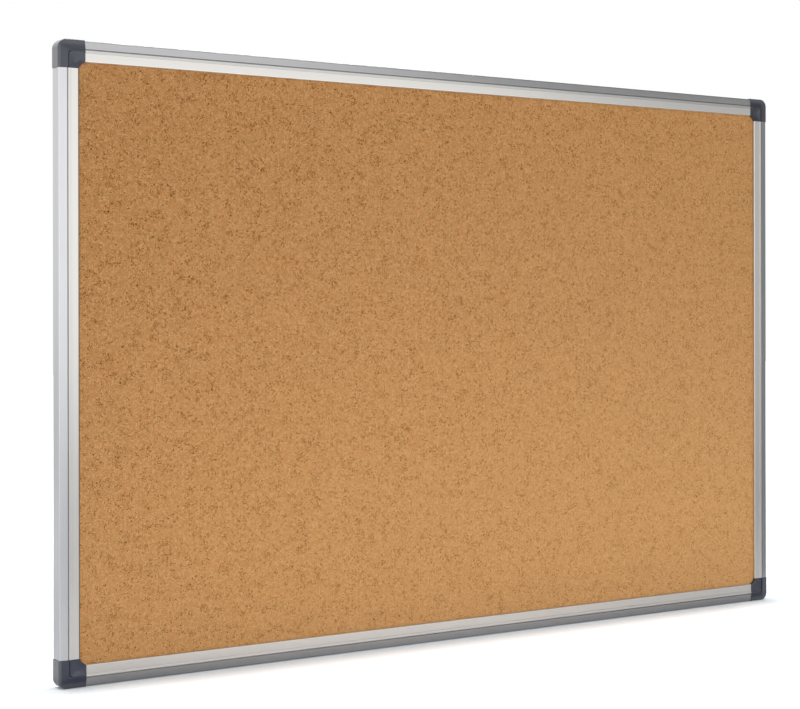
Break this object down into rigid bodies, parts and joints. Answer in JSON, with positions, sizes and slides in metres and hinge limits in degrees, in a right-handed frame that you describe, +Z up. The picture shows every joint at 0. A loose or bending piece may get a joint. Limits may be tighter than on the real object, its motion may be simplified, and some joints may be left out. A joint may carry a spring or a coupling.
{
  "type": "cork notice board",
  "caption": "Rectangular cork pinboard in satin aluminium rails, with pull-off plastic caps over its corners and fixing holes beneath them.",
  "frame": {"origin": "centre of the board's back, on the wall plane that the rails' backs touch", "axes": "+X to the board's right as seen from in front, +Z up, and -Y out of the wall towards the person who looks at the cork"},
  "size_m": [0.9014, 0.0158, 0.6014],
  "materials": {
    "anodised_aluminium": "satin",
    "cap_plastic": "satin",
    "connector_plastic": "matte",
    "cork": "matte",
    "softboard": "matte",
    "kraft_paper": "matte",
    "zinc_plated_steel": "satin"
  },
  "bodies": {
    "board": {"top_rail": "anodised_aluminium", "bottom_rail": "anodised_aluminium", "left_rail": "anodised_aluminium", "right_rail": "anodised_aluminium", "top_left_connector": "connector_plastic", "top_right_connector": "connector_plastic", "bottom_left_connector": "connector_plastic", "bottom_right_connector": "connector_plastic", "cork_sheet": "cork", "core_board": "softboard", "backing_sheet": "kraft_paper", "top_rail_left_screw": "zinc_plated_steel", "top_rail_right_screw": "zinc_plated_steel", "bottom_rail_left_screw": "zinc_plated_steel", "bottom_rail_right_screw": "zinc_plated_steel", "left_rail_lower_screw": "zinc_plated_steel", "left_rail_upper_screw": "zinc_plated_steel", "right_rail_lower_screw": "zinc_plated_steel", "right_rail_upper_screw": "zinc_plated_steel"},
    "top_left_cap_body": {"top_left_cap": "cap_plastic"},
    "top_right_cap_body": {"top_right_cap": "cap_plastic"},
    "bottom_left_cap_body": {"bottom_left_cap": "cap_plastic"},
    "bottom_right_cap_body": {"bottom_right_cap": "cap_plastic"}
  },
  "joints": [
    {"name": "top_left_cap_pull", "type": "slide", "parent": "board", "child": "top_left_cap_body", "axis": [0, -1, 0], "range_m": [0, 0.02]},
    {"name": "top_right_cap_pull", "type": "slide", "parent": "board", "child": "top_right_cap_body", "axis": [0, -1, 0], "range_m": [0, 0.02]},
    {"name": "bottom_left_cap_pull", "type": "slide", "parent": "board", "child": "bottom_left_cap_body", "axis": [0, -1, 0], "range_m": [0, 0.02]},
    {"name": "bottom_right_cap_pull", "type": "slide", "parent": "board", "child": "bottom_right_cap_body", "axis": [0, -1, 0], "range_m": [0, 0.02]}
  ]
}
